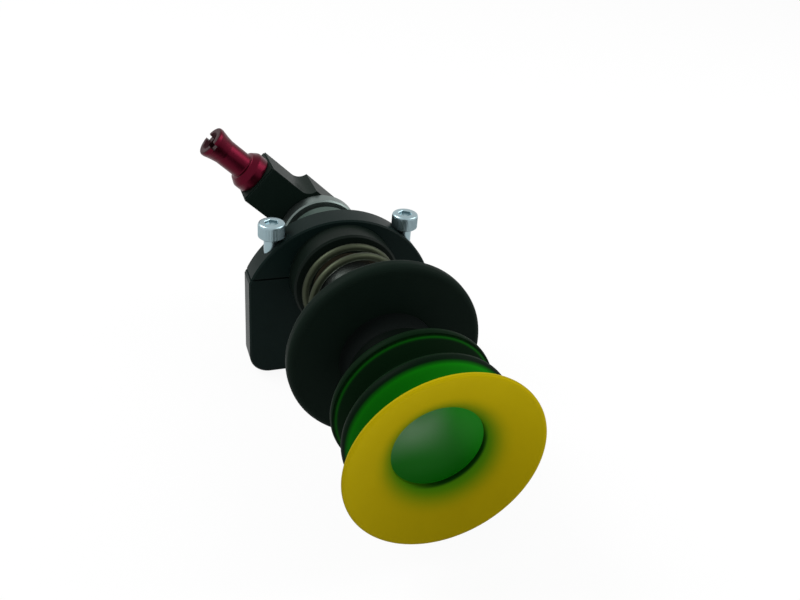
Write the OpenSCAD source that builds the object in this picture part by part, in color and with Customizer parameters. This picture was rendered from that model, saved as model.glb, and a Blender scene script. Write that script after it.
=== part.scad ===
// Spring-suspended bellows suction cup gripper, clamped in a split plate.
// The row frame: X across the clamp, Y along the gripper's axis towards its rear, Z up.
// The origin is the middle of the clamp's flat base. Stations along the axis are
// measured rearwards from the cup's sealing land and called "t".

/* [Suction cup] */
// Outer diameter of the yellow lip
lip_d = 52; // [48:0.5:56]
// Diameter of the mouth inside the lip
mouth_d = 24.4; // [20:0.2:28]
// Depth of the mouth's edge behind the sealing land
mouth_t = 6.1; // [5:0.1:7]
// Diameter over the bellows' folds
fold_d = 45.8; // [44:0.2:47]
// Radius of the rounded bead on each fold
bead_r = 2; // [1.2:0.1:2.2]
// Diameter in the valley between the two folds
valley_d = 34.2; // [33:0.2:35]
// Diameter of the port in the cup's dished floor
port_d = 4; // [3:0.5:5]
// Diameter of the bellows' neck
neck_d = 29; // [28:0.5:30]

/* [Hub and backing disc] */
// Diameter of the hub that plugs into the neck
hub_d = 28; // [26:0.5:30]
// Diameter of the backing disc
disc_d = 57; // [50:0.5:60]
// Radius of the backing disc's rounded rim
disc_rim_r = 1.9; // [1:0.1:2.2]

/* [Stem and spring] */
// Diameter of the hollow stem
stem_d = 20; // [19:0.1:20.4]
// Diameter of the air way through the stem
air_d = 9; // [6:0.5:10]
// Outer diameter of the spring
spring_d = 31.6; // [30:0.1:32]
// Diameter of the spring's wire
wire_d = 2.4; // [1.8:0.1:2.4]
// Pitch of the spring's open coils
spring_pitch = 11; // [9:0.5:12]

/* [Guide and split clamp] */
// Diameter of the guide sleeve's barrel, which the clamp grips
barrel_d = 26; // [25.6:0.1:26.4]
// Diameter of the guide sleeve's flange, which the spring pushes on
flange_d = 35; // [33:0.5:36]
// Thickness of the clamp plate
plate_t = 9; // [8.6:0.1:9.4]
// Radius of the clamp plate's round outline
plate_r = 33; // [32.5:0.1:33.5]
// Drop of the round outline's centre below the axis
plate_drop = 14; // [13.8:0.1:14.2]
// Width across the clamp's flat sides
plate_w = 61; // [60:0.5:62]
// Height of the axis above the clamp's flat base
axis_h = 36.4; // [36:0.1:37]
// Radius of the corners at the clamp's foot
foot_r = 7; // [5:0.5:9]
// Distance between the two clamp screws
screw_span = 44.8; // [44:0.2:45]
// Distance between the two tapped holes in the base
base_span = 24; // [20:1:28]

/* [Elbow and nipple] */
// Width of the elbow's square body
elbow_w = 22; // [21:0.5:23]
// Width of the elbow's arm
arm_w = 15; // [14:0.5:16]
// Reach of the arm's end face from the axis
arm_reach = 29; // [27:0.5:31]
// Turn of the nipple from +X towards up
nipple_angle = 138; // [0:1:360]
// Diameter of the nipple's barrel
nipple_d = 9; // [8:0.1:9.4]
// Diameter of the nipple's flared mouth
flare_d = 11; // [10.5:0.1:12]

/* [Hidden] */
$fn = 96;

// Clearances
bond_gap = 0.1;       // between the lip and the bellows, which move apart
run_gap = 0.04;       // radial, stem in its liners
seat_gap = 0.02;      // radial, parts that are pressed, clamped or screwed together
rest_gap = 0.2;       // axial, between bodies that meet at rest

// Stations along the axis, from front to rear
neck_t = 29.2;                        // front of the bellows' neck
hub_t = 38.1;                         // front face of the hub
disc_t = 46;                          // front face of the backing disc
shoulder_t = 51.2;                    // back of the disc, which the stem's shoulder meets
washer_t = shoulder_t + rest_gap;     // front washer of the spring
spring_t = washer_t + 1.5;            // front end of the spring
flange_t = 87.2;                      // front face of the guide sleeve's flange
plate_front_t = 95;                   // front face of the clamp plate
clamp_t = plate_front_t + plate_t / 2; // middle of the clamp plate: the row frame's Y = 0
sleeve_end_t = 119.8;                 // rear end of the guide sleeve
collar_t = 121.6;                     // front face of the stop collar
elbow_t = 127;                        // front face of the elbow
elbow_end_t = 143;                    // rear face of the elbow
nipple_t = (elbow_t + elbow_end_t) / 2; // axis of the arm and the nipple

// Radii shared by several parts
lip_r = lip_d / 2;
mouth_r = mouth_d / 2;
plug_r = 8.9;                         // hub's plug in the neck
spigot_r = 7;                         // threaded ends of the stem
liner_r = 11.5;                       // bore of the guide sleeve
screw_r = 2.5;                        // M5
head_r = 4.36;                        // knurled head
head_h = 5;
screw_length = 28;
seat_h = 13;                          // screw seats above the axis
split_gap = 0.6;                      // between the clamp's two halves
plate_edge = 0.5;                     // broken edges of the clamp plate
base_hole_r = 2.1;                    // tapping size of M5
shank_r = 5;                          // nipple's threaded shank
nipple_bore_r = 2.5;                  // air way through the nipple and the arm

// Lengths and angles
liner_length = 12;                    // each liner in the guide sleeve
spigot_length = 6;                    // stem's threaded end in the hub
grub_r = 1.5;                         // M3 grub screw of the stop collar
grub_angle = -50;                     // its turn from +X towards up

// ---- Shared helpers ----

// Places what is built about local Z at station t; local Z points rearwards, local -Y up
module on_axis(t) {
    translate([0, t - clamp_t, axis_h]) rotate([-90, 0, 0]) children();
}

// Turns local X to the given angle from +X towards up, for a child of on_axis
module towards(angle) {
    rotate([0, 0, -angle]) children();
}

// Places what is built about local Z on the arm's axis, at a distance from the gripper's axis
module on_arm(reach) {
    on_axis(nipple_t) towards(nipple_angle) rotate([0, 90, 0]) translate([0, 0, reach]) children();
}

// Revolves an outline of [radius, station] points about the gripper's axis
module turned(points) {
    on_axis(0) rotate_extrude() polygon(points);
}

// A plain ring between two stations, with chamfers on its outer edges
module ring(outer_r, inner_r, t0, t1, chamfer = 0) {
    turned([[inner_r, t0], [outer_r - chamfer, t0], [outer_r, t0 + chamfer],
            [outer_r, t1 - chamfer], [outer_r - chamfer, t1], [inner_r, t1]]);
}

// An O-ring about the gripper's axis
module o_ring(mid_r, section_r, t) {
    on_axis(t) rotate_extrude() translate([mid_r, 0]) circle(section_r, $fn = 32);
}

function unit(v) = v / norm(v);
function shortest(a) = a > 180 ? a - 360 : a < -180 ? a + 360 : a;

// The corner at b, between its neighbours a and c, rounded to radius r in n steps
function corner(a, b, c, r, n = 6) =
    let (u = unit(a - b), w = unit(c - b), half = acos(u * w) / 2,
         centre = b + unit(u + w) * r / sin(half),
         start = b + u * r / tan(half) - centre, stop = b + w * r / tan(half) - centre,
         a0 = atan2(start[1], start[0]), sweep = shortest(atan2(stop[1], stop[0]) - a0))
    [for (i = [0:n]) centre + r * [cos(a0 + sweep * i / n), sin(a0 + sweep * i / n)]];

// An outline of [x, y, corner radius] points, with the corners rounded
function rounded(points) =
    let (n = len(points))
    [for (i = [0:n - 1])
        let (b = points[i], a = points[(i + n - 1) % n], c = points[(i + 1) % n])
        each b[2] == 0 ? [[b[0], b[1]]]
                       : corner([a[0], a[1]], [b[0], b[1]], [c[0], c[1]], b[2])];

// ---- Suction cup ----

// Station of the face between the lip and the bellows, a cone through two radii
function bond_t(r) = 1.6 + (24.8 - r) * 5.5 / 12.6;

module lip() {
    color("gold")
        turned(rounded([[mouth_r, mouth_t, 0], [lip_r - 0.9, 0, 0], [lip_r - 0.4, 0, 0],
                        [lip_r, 0.2, 0], [lip_r, 0.9, 0.3], [lip_r - 0.7, 1.45, 0],
                        [24.8, bond_t(24.8), 0], [mouth_r, bond_t(mouth_r), 0]]));
}

// Depth of the dished floor at radius r
function floor_t(r) = 21.5 - 7.9 * pow((r - port_d / 2) / 17.3, 2);

module bellows() {
    crest_r = fold_d / 2;
    valley_r = valley_d / 2;
    outside = [[24.8, bond_t(24.8) + bond_gap, 0], [24.3, 2.7, 0.4], [17.8, 8, 1],
               [crest_r + 0.9, 13, bead_r], [valley_r - 0.5, 19, 1.2], [crest_r + 1, 24.5, bead_r],
               [neck_d / 2, 30.5, 1], [neck_d / 2, hub_t - bond_gap, 0]];
    rear_chamber = [[plug_r + bond_gap, hub_t - bond_gap, 0], [plug_r + bond_gap, neck_t, 0],
                    [12.5, neck_t, 0], [19.9, 24.4, 0.8], [15.2, 20.9, 1], [port_d / 2, 23.3, 0]];
    dish = [for (i = [0:9]) let (r = port_d / 2 + i * 1.92) [r, floor_t(r), 0]];
    front_chamber = [[20.1, 13, 0.5], [16.3, 9.64, 0], [mouth_r + 0.5, mouth_t + 1.7, 0.2],
                     [mouth_r + 0.1, bond_t(mouth_r + 0.1) + bond_gap, 0]];
    color("green")
        turned(rounded(concat(outside, rear_chamber, dish, front_chamber)));
}

// ---- Hub and backing disc ----

module cup_hub() {
    plug_flange_r = 11.3;
    plug_t = 27.3;
    thread_t = disc_t - spigot_length - 0.4;
    color("#101416")
        difference() {
            turned([[air_d / 2, plug_t], [plug_flange_r - 1, plug_t],
                    [plug_flange_r, plug_t + 0.8],
                    [plug_flange_r, neck_t - bond_gap], [plug_r, neck_t - bond_gap],
                    [plug_r, hub_t], [hub_d / 2 - 0.8, hub_t], [hub_d / 2, hub_t + 0.8],
                    [hub_d / 2, disc_t], [spigot_r + seat_gap, disc_t],
                    [spigot_r + seat_gap, thread_t], [air_d / 2, thread_t]]);
            ring(10.8, 9.2, disc_t - 1.45, disc_t + 1);
        }
}

module hub_seal() {
    color("#202020") o_ring(10, 0.7, disc_t - 0.72);
}

module backing_disc() {
    r = disc_d / 2;
    hole_r = spigot_r + seat_gap;
    color("#0c1416")
        turned(rounded([[hole_r, disc_t, 0], [r, disc_t, disc_rim_r], [r, shoulder_t, disc_rim_r],
                        [hole_r, shoulder_t, 0]]));
}

// ---- Stem and spring ----

module stem() {
    color("#9aa0a4")
        turned([[air_d / 2, disc_t - spigot_length], [spigot_r, disc_t - spigot_length],
                [spigot_r, shoulder_t], [stem_d / 2, shoulder_t], [stem_d / 2, elbow_t], [spigot_r, elbow_t],
                [spigot_r, elbow_t + 5], [air_d / 2, elbow_t + 5]]);
}

module front_washer() {
    color("silver") ring(spring_d / 2 + 0.2, stem_d / 2 + 0.08, washer_t, spring_t, 0.2);
}

// The spring's wire: closed end coils that nearly touch, and open coils between them
module spring() {
    coil_r = (spring_d - wire_d) / 2;
    end_pitch = wire_d + 0.1;
    rear_t = flange_t - wire_d / 2 - 0.05;
    front_t = spring_t + wire_d / 2 + 0.05;
    open_turns = (rear_t - front_t - 2 * end_pitch) / spring_pitch;
    turns = open_turns + 2;
    rear_angle = -72;
    per_turn = 26;
    sides = 10;
    steps = ceil(turns * per_turn);
    lead = atan(spring_pitch / (2 * PI * coil_r));
    function coil_t(s) =
        s < 1 ? rear_t - end_pitch * s
        : s < 1 + open_turns ? rear_t - end_pitch - spring_pitch * (s - 1)
        : rear_t - end_pitch - spring_pitch * open_turns - end_pitch * (s - 1 - open_turns);
    function wire_point(i, j) =
        let (s = turns * i / steps, angle = rear_angle + 360 * s, around = 360 * j / sides,
             out = coil_r + wire_d / 2 * cos(around), along = wire_d / 2 * sin(around),
             slip = along * sin(lead) * 180 / PI / coil_r)
        [out * cos(angle + slip), coil_t(s) + along * cos(lead) - clamp_t,
         out * sin(angle + slip) + axis_h];
    points = [for (i = [0:steps]) for (j = [0:sides - 1]) wire_point(i, j)];
    walls = [for (i = [0:steps - 1]) for (j = [0:sides - 1])
        let (a = i * sides + j, b = i * sides + (j + 1) % sides)
        each [[a, a + sides, b], [b, a + sides, b + sides]]];
    front_cap = [for (j = [0:sides - 1]) steps * sides + sides - 1 - j];
    rear_cap = [for (j = [0:sides - 1]) j];
    color("#6f6a4a") polyhedron(points, concat([rear_cap], walls, [front_cap]));
}

// ---- Guide sleeve and its liners ----

module sleeve_flange() {
    edge = 0.6;
    color("#15191b")
        turned([[liner_r, flange_t], [flange_d / 2 - edge, flange_t],
                [flange_d / 2, flange_t + edge], [flange_d / 2, plate_front_t],
                [liner_r, plate_front_t]]);
}

module guide_sleeve() {
    edge = 0.6;
    color("#15191b")
        turned([[liner_r, plate_front_t], [barrel_d / 2, plate_front_t],
                [barrel_d / 2, sleeve_end_t - edge], [barrel_d / 2 - edge, sleeve_end_t],
                [liner_r, sleeve_end_t]]);
}

module liner(t0, t1) {
    color("#c9b27a") ring(liner_r - seat_gap, stem_d / 2 + run_gap, t0, t1);
}

module front_liner() {
    liner(flange_t, flange_t + liner_length);
}

module rear_liner() {
    liner(sleeve_end_t - liner_length, sleeve_end_t);
}

// ---- Split clamp ----

// Depth profile of the plate from z = 0 to a height, with its front and rear edges broken
function plate_profile(width) =
    let (half_t = plate_t / 2, edge = plate_edge)
    [[0, -half_t], [width - edge, -half_t], [width, edge - half_t],
     [width, half_t - edge], [width - edge, half_t], [0, half_t]];

// The plate's round outline, which the cap follows and the base's shoulders meet
module plate_round() {
    translate([0, 0, axis_h - plate_drop]) rotate([-90, 0, 0])
        rotate_extrude($fn = 180) polygon(plate_profile(plate_r));
}

// The plate between its flat sides, from one height to another
module plate_flats(z0, z1) {
    for (side = [0, 1])
        translate([0, 0, z0]) mirror([side, 0, 0])
            linear_extrude(height = z1 - z0) polygon(plate_profile(plate_w / 2));
}

// The plate's flat foot with its rounded corners
module plate_foot() {
    corner_x = plate_w / 2 - foot_r;
    translate([0, 0, foot_r]) rotate([90, 0, 90])
        linear_extrude(height = 2 * corner_x, center = true)
            polygon([for (p = plate_profile(foot_r)) [p[1], -p[0]]]);
    for (side = [-1, 1])
        translate([side * corner_x, 0, foot_r]) rotate([-90, 0, 0])
            rotate_extrude() polygon(plate_profile(foot_r));
}

module clamp_bore() {
    on_axis(clamp_t) cylinder(r = barrel_d / 2 + seat_gap, h = plate_t + 2, center = true);
}

module clamp_base() {
    color("#20282a")
        difference() {
            union() {
                plate_foot();
                plate_flats(foot_r, axis_h - plate_drop);
                intersection() {
                    plate_flats(axis_h - plate_drop, axis_h - split_gap / 2);
                    plate_round();
                }
            }
            clamp_bore();
            for (side = [-1, 1]) {
                translate([side * screw_span / 2, 0, axis_h - 17])
                    cylinder(r = screw_r + seat_gap, h = 20, $fn = 48);
                translate([side * base_span / 2, 0, -1])
                    cylinder(r = base_hole_r, h = 13, $fn = 48);
            }
        }
}

module clamp_cap() {
    color("#20282a")
        difference() {
            intersection() {
                plate_flats(axis_h + split_gap / 2, 2 * axis_h);
                plate_round();
            }
            clamp_bore();
            for (side = [-1, 1]) translate([side * screw_span / 2, 0, axis_h]) {
                cylinder(r = screw_r + 0.25, h = 40, $fn = 48);
                translate([0, 0, seat_h]) cylinder(r = head_r + 0.35, h = 20, $fn = 48);
            }
        }
}

// A socket head cap screw along Z, its head's underside at the origin
module cap_screw(length) {
    color("silver")
        difference() {
            rotate_extrude($fn = 64)
                polygon([[0, -length], [screw_r - 0.4, -length], [screw_r, 0.4 - length],
                         [screw_r, 0], [head_r, 0], [head_r, head_h - 0.4],
                         [head_r - 0.4, head_h], [0, head_h]]);
            translate([0, 0, head_h - 2.5]) cylinder(d = 4 / cos(30), h = 3, $fn = 6);
        }
}

module screw_left() {
    translate([-screw_span / 2, 0, axis_h + seat_h]) cap_screw(screw_length);
}

module screw_right() {
    translate([screw_span / 2, 0, axis_h + seat_h]) cap_screw(screw_length);
}

// ---- Stop collar ----

module buffer_ring() {
    color("#1a1a1a") ring(12, stem_d / 2 + seat_gap, sleeve_end_t + rest_gap, collar_t);
}

module stop_collar() {
    color("#8d9498")
        difference() {
            ring(14.2, stem_d / 2 + seat_gap, collar_t, elbow_t, 0.5);
            on_axis((collar_t + elbow_t) / 2) towards(grub_angle) rotate([0, 90, 0])
                cylinder(r = grub_r + seat_gap, h = 20, $fn = 32);
        }
}

module collar_screw() {
    color("#303438")
        on_axis((collar_t + elbow_t) / 2) towards(grub_angle) rotate([0, 90, 0])
            translate([0, 0, stem_d / 2 + 0.05])
                difference() {
                    cylinder(r = grub_r, h = 3.9, $fn = 32);
                    translate([0, 0, 2.4]) cylinder(d = grub_r / cos(30), h = 2, $fn = 6);
                }
}

// ---- Elbow ----

// The elbow seen along the axis: a square body, scooped down to a narrower arm along +X
module elbow_outline() {
    half_w = elbow_w / 2;
    scoop_r = 4.5;
    scoop_x = half_w + scoop_r;
    edge = 0.8;
    polygon([[-half_w, edge - half_w], [edge - half_w, -half_w], [half_w, -half_w],
             [half_w, half_w], [edge - half_w, half_w], [-half_w, half_w - edge]]);
    difference() {
        translate([0, -half_w]) square([scoop_x, elbow_w]);
        for (side = [-1, 1])
            translate([scoop_x, side * (arm_w / 2 + scoop_r)]) circle(scoop_r, $fn = 64);
    }
    translate([0, -arm_w / 2]) square([arm_reach - 0.5, arm_w]);
}

module elbow_body() {
    depth = elbow_end_t - elbow_t;
    chamber_r = 5.6;
    chamber_depth = 7.5;
    color("#101416")
        difference() {
            union() {
                on_axis(elbow_t) towards(nipple_angle)
                    linear_extrude(height = depth) elbow_outline();
                on_axis(elbow_t) towards(nipple_angle)
                    translate([arm_reach - 1, 0.5 - arm_w / 2, 0.5])
                        cube([1, arm_w - 1, depth - 1]);
            }
            on_axis(elbow_t - 1) cylinder(r = 8.9, h = 3);
            on_axis(elbow_t - 1) cylinder(r = spigot_r + seat_gap, h = 6.2);
            on_axis(elbow_t + 5) cylinder(r = chamber_r, h = chamber_depth);
            on_arm(0) cylinder(r = nipple_bore_r, h = arm_reach, $fn = 48);
            on_arm(arm_reach - 8.2) cylinder(r = shank_r + seat_gap, h = 9, $fn = 64);
            on_arm(arm_reach - 1.6) cylinder(r = 6.8, h = 2, $fn = 64);
        }
}

module elbow_seal() {
    color("#202020") o_ring(7.95, 0.85, elbow_t + 1.05);
}

// ---- Nipple ----

module nipple() {
    barrel_r = nipple_d / 2;
    mouth_z = 48.8;
    land_z = 47;
    color("crimson")
        difference() {
            on_arm(0) rotate_extrude($fn = 72)
                polygon([[nipple_bore_r, arm_reach - 8], [shank_r - 0.4, arm_reach - 8],
                         [shank_r, arm_reach - 7.6], [shank_r, arm_reach], [7, arm_reach],
                         [6.9, arm_reach + 2.6], [6.2, arm_reach + 4.6], [5.6, arm_reach + 5.3],
                         [barrel_r, arm_reach + 5.7], [barrel_r, 42.5], [barrel_r + 0.35, 45],
                         [flare_d / 2, land_z], [flare_d / 2, mouth_z - 0.5],
                         [flare_d / 2 - 0.4, mouth_z],
                         [nipple_bore_r + 1, mouth_z],
                         [nipple_bore_r, mouth_z - 1.5]]);
            on_arm(mouth_z - 1.8) translate([0, 0, 1.5]) cube([2 * flare_d, 1.8, 3], center = true);
        }
}

module nipple_seal() {
    color("#202020")
        on_arm(arm_reach - 0.8) rotate_extrude() translate([5.9, 0]) circle(0.75, $fn = 32);
}

lip();
bellows();
cup_hub();
hub_seal();
backing_disc();
stem();
front_washer();
spring();
sleeve_flange();
guide_sleeve();
front_liner();
rear_liner();
clamp_base();
clamp_cap();
screw_left();
screw_right();
buffer_ring();
stop_collar();
collar_screw();
elbow_body();
elbow_seal();
nipple();
nipple_seal();
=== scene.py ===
"""A spring-suspended bellows suction cup gripper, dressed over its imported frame.

The row frame has X across the clamp, Y rearwards along the gripper's axis and Z up. Stations
along the axis are measured rearwards from the cup's sealing land, in millimetres, as "t".
Places beside the axis are "right" of it along X and "above" it along Z, in millimetres.
"""

import logging
import math
from dataclasses import dataclass, field
from enum import Enum
from typing import Callable, Dict, List, Optional, Sequence, Tuple, Union

import bmesh
import bpy
from mathutils import Matrix, Vector


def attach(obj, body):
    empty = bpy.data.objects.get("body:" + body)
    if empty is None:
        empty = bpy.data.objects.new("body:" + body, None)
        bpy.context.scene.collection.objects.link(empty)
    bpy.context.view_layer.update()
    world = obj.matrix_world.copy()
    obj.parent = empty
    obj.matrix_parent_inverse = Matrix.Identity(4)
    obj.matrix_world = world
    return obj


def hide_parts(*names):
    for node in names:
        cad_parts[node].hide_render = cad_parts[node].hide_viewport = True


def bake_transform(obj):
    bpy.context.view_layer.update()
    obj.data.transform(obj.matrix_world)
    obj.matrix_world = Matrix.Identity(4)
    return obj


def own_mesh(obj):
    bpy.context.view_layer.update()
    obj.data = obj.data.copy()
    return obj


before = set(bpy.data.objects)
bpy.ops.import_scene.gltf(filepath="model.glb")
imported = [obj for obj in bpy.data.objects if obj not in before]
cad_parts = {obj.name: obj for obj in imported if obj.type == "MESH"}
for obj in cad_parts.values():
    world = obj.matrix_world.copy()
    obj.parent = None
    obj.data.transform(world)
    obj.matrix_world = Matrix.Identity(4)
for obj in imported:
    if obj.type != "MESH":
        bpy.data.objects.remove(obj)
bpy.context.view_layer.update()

logging.basicConfig(level=logging.INFO, format="%(name)s: %(message)s")
LOG = logging.getLogger("gripper")

Colour = Tuple[float, float, float, float]
Place = Tuple[float, float, float]
Point = Tuple[float, float]
Corner = Tuple[float, float, float]
Fade = Tuple[float, float]
Pieces = Dict[str, bpy.types.Object]
Size = Union[float, int, Tuple[float, ...]]
Value = Union["Wire", float, int, Sequence[float], None]

MM = 0.001
BLACK: Colour = (0.0, 0.0, 0.0, 1.0)
WHITE: Colour = (1.0, 1.0, 1.0, 1.0)

# The axis lies AXIS_H above the clamp's base. The clamp's middle, at CLAMP_T, is where Y is 0.
AXIS_H = 36.4
CLAMP_T = 99.5

# The elbow's arm leaves the axis at ARM_T, at ARM_ANGLE degrees anticlockwise from the right.
ARM_T = 135.0
ARM_ANGLE = 138.0

LIP_R = 26.0
MOUTH_R = 12.2
SCREW_X = 22.4


def tint(red: int, green: int, blue: int) -> Colour:
    """Turns a display colour into a shader colour.

    Args:
        red: Red on the display scale of 0 to 255.
        green: Green on that scale.
        blue: Blue on that scale.

    Returns:
        The linear colour with full alpha.
    """
    def linear(level: int) -> float:
        """One channel, linear."""
        part = level / 255
        return part / 12.92 if part <= 0.04045 else ((part + 0.055) / 1.055) ** 2.4

    return (linear(red), linear(green), linear(blue), 1.0)


def on_axis(t: float) -> Place:
    """The place of station t on the gripper's axis, in metres in the row frame."""
    return (0.0, (t - CLAMP_T) * MM, AXIS_H * MM)


# ---- Node graphs ----


class Wire:
    """A node's output, on which sums and products add Math nodes."""

    def __init__(self, graph: "Graph", socket: Optional[bpy.types.NodeSocket]) -> None:
        """Keeps the graph and the output socket."""
        self.graph = graph
        self.socket = socket

    def _math(self, operation: str, first: Value, second: Value = None) -> "Wire":
        """Adds one Math node and returns its result."""
        sockets = {0: first} if second is None else {0: first, 1: second}
        return self.graph.node("ShaderNodeMath", {"operation": operation}, sockets)

    def __add__(self, other: Value) -> "Wire":
        """self + other."""
        return self._math("ADD", self, other)

    __radd__ = __add__

    def __sub__(self, other: Value) -> "Wire":
        """self - other."""
        return self._math("SUBTRACT", self, other)

    def __rsub__(self, other: Value) -> "Wire":
        """other - self."""
        return self._math("SUBTRACT", other, self)

    def __mul__(self, other: Value) -> "Wire":
        """self * other."""
        return self._math("MULTIPLY", self, other)

    __rmul__ = __mul__

    def __truediv__(self, other: Value) -> "Wire":
        """self / other."""
        return self._math("DIVIDE", self, other)

    def __rtruediv__(self, other: Value) -> "Wire":
        """other / self."""
        return self._math("DIVIDE", other, self)

    def __pow__(self, other: Value) -> "Wire":
        """self to the power other."""
        return self._math("POWER", self, other)

    def root(self) -> "Wire":
        """The square root."""
        return self._math("SQRT", self)

    def unsigned(self) -> "Wire":
        """The value without its sign."""
        return self._math("ABSOLUTE", self)

    def sine(self) -> "Wire":
        """The sine of an angle in radians."""
        return self._math("SINE", self)

    def cosine(self) -> "Wire":
        """The cosine of an angle in radians."""
        return self._math("COSINE", self)

    def least(self, other: Value) -> "Wire":
        """The smaller of the two."""
        return self._math("MINIMUM", self, other)

    def most(self, other: Value) -> "Wire":
        """The larger of the two."""
        return self._math("MAXIMUM", self, other)

    def step(self, start: float, end: float) -> "Wire":
        """Rises smoothly from 0 at start to 1 at end.

        Args:
            start: Where the rise begins.
            end: Where it is done; it may be below start.

        Returns:
            The rise, kept within 0 and 1.
        """
        if start <= end:
            return self.graph.node(
                "ShaderNodeMapRange", {"interpolation_type": "SMOOTHSTEP"},
                {"Value": self, "From Min": start, "From Max": end},
            )
        return 1 - self.step(end, start)


@dataclass
class Graph:
    """A node tree of any kind, and the one method that adds nodes to it."""

    tree: bpy.types.NodeTree

    def node(
        self,
        kind: str,
        settings: Optional[Dict[str, object]] = None,
        sockets: Optional[Dict[Union[int, str], Value]] = None,
        output: Union[int, str] = 0,
    ) -> Wire:
        """Adds a node.

        Args:
            kind: The node's type.
            settings: Its properties, set before anything else.
            sockets: Values or wires for its inputs, by name or place.
            output: The output to return.

        Returns:
            The wire of that output.
        """
        made = self.tree.nodes.new(kind)
        for name, setting in (settings or {}).items():
            setattr(made, name, setting)
        for name, value in (sockets or {}).items():
            target = made.inputs[name]
            if isinstance(value, Wire):
                self.tree.links.new(value.socket, target)
            elif value is not None:
                target.default_value = value
        return Wire(self, made.outputs[output] if made.outputs else None)

    def also(self, wire: Wire, output: Union[int, str]) -> Wire:
        """Another output of the node that a wire comes from."""
        return Wire(self, wire.socket.node.outputs[output])


class Painter(Graph):
    """A material's graph, with the patterns that several finishes share."""

    @classmethod
    def on(cls, owner: Union[bpy.types.Material, bpy.types.World]) -> "Painter":
        """Starts the graph of a material or the world from nothing.

        Args:
            owner: The material or the world.

        Returns:
            The painter of its empty graph.
        """
        owner.use_nodes = True
        owner.node_tree.nodes.clear()
        return cls(owner.node_tree)

    def place(self) -> Wire:
        """The object coordinates, in metres."""
        return self.node("ShaderNodeTexCoord", output="Object")

    def parts(self, vector: Wire) -> Tuple[Wire, Wire, Wire]:
        """The three parts of a vector."""
        x = self.node("ShaderNodeSeparateXYZ", sockets={0: vector})
        return x, self.also(x, 1), self.also(x, 2)

    def stretched(self, scale: Sequence[float] = (1.0, 1.0, 1.0)) -> Wire:
        """The object coordinates in millimetres, stretched along the axes."""
        return self.node(
            "ShaderNodeMapping", {"vector_type": "POINT"},
            {"Vector": self.place(), "Scale": [part / MM for part in scale]},
        )

    def noise(self, coords: Wire, waves: float, detail: float = 3, rough: float = 0.55) -> Wire:
        """Adds a noise of about 0 to 1.

        Args:
            coords: The coordinates that it follows.
            waves: Its waves a millimetre.
            detail: How many finer layers it has.
            rough: How strong the finer layers are.

        Returns:
            The noise.
        """
        return self.node(
            "ShaderNodeTexNoise", {"noise_dimensions": "3D"},
            {"Vector": coords, "Scale": waves, "Detail": detail, "Roughness": rough},
        )

    def mix(self, mask: Value, low: Value, high: Value) -> Wire:
        """Mixes two colours: low where the mask is 0 and high where it is 1."""
        return self.node(
            "ShaderNodeMix", {"data_type": "RGBA", "clamp_factor": True},
            {0: mask, 6: low, 7: high}, output=2,
        )

    def shade(self, base: Value, factor: Value) -> Wire:
        """Multiplies a colour by a grey factor.

        Args:
            base: The colour, as a wire or four numbers.
            factor: The factor.

        Returns:
            The product.
        """
        grey = self.node("ShaderNodeCombineXYZ", sockets={0: factor, 1: factor, 2: factor})
        colour = base if isinstance(base, Wire) else base[:3]
        return self.node("ShaderNodeVectorMath", {"operation": "MULTIPLY"}, {0: colour, 1: grey})

    def station(self) -> Wire:
        """The station along the gripper's axis, in millimetres."""
        return self.parts(self.place())[1] / MM + CLAMP_T

    def across(self) -> Tuple[Wire, Wire]:
        """The places to the right of and above the gripper's axis, in millimetres."""
        x, _, z = self.parts(self.place())
        return x / MM, z / MM - AXIS_H

    def reach(self, right: float = 0.0, above: float = 0.0) -> Wire:
        """The distance from the gripper's axis or a line beside it, in millimetres.

        Args:
            right: How far the line lies to the right of the axis.
            above: How far it lies above the axis.

        Returns:
            The distance.
        """
        x, z = self.across()
        side, rise = x - right, z - above
        return (side * side + rise * rise).root()

    def seen(self) -> Wire:
        """Marks the rays that see the background.

        Returns:
            1 for straight and mirrored rays and those through glass, and 0 for the light.
        """
        camera = self.node("ShaderNodeLightPath", output="Is Camera Ray")
        mirrored = self.also(camera, "Is Glossy Ray")
        through = self.also(camera, "Is Transmission Ray")
        return (camera + mirrored + through).least(1.0)

    def bump(self, height: Wire, strength: float, depth: float) -> Wire:
        """Adds a bump that feeds Normal.

        Args:
            height: The height, of about 0 to 1.
            strength: How far the normal follows it.
            depth: The height's depth in millimetres.

        Returns:
            The bumped normal.
        """
        return self.node("ShaderNodeBump", sockets={
            "Strength": strength, "Distance": depth * MM, "Height": height,
        })


# ---- Finishes ----


class Grain(Enum):
    """How a surface was made: its fine marks' stretch along X, Y and Z, and waves a millimetre."""

    BLASTED = ((1.0, 1.0, 1.0), 5.0)
    TURNED = ((0.12, 2.2, 0.12), 3.0)
    DRAWN = ((0.3, 0.3, 0.3), 3.0)
    MOULDED = ((1.0, 1.0, 1.0), 3.0)


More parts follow.
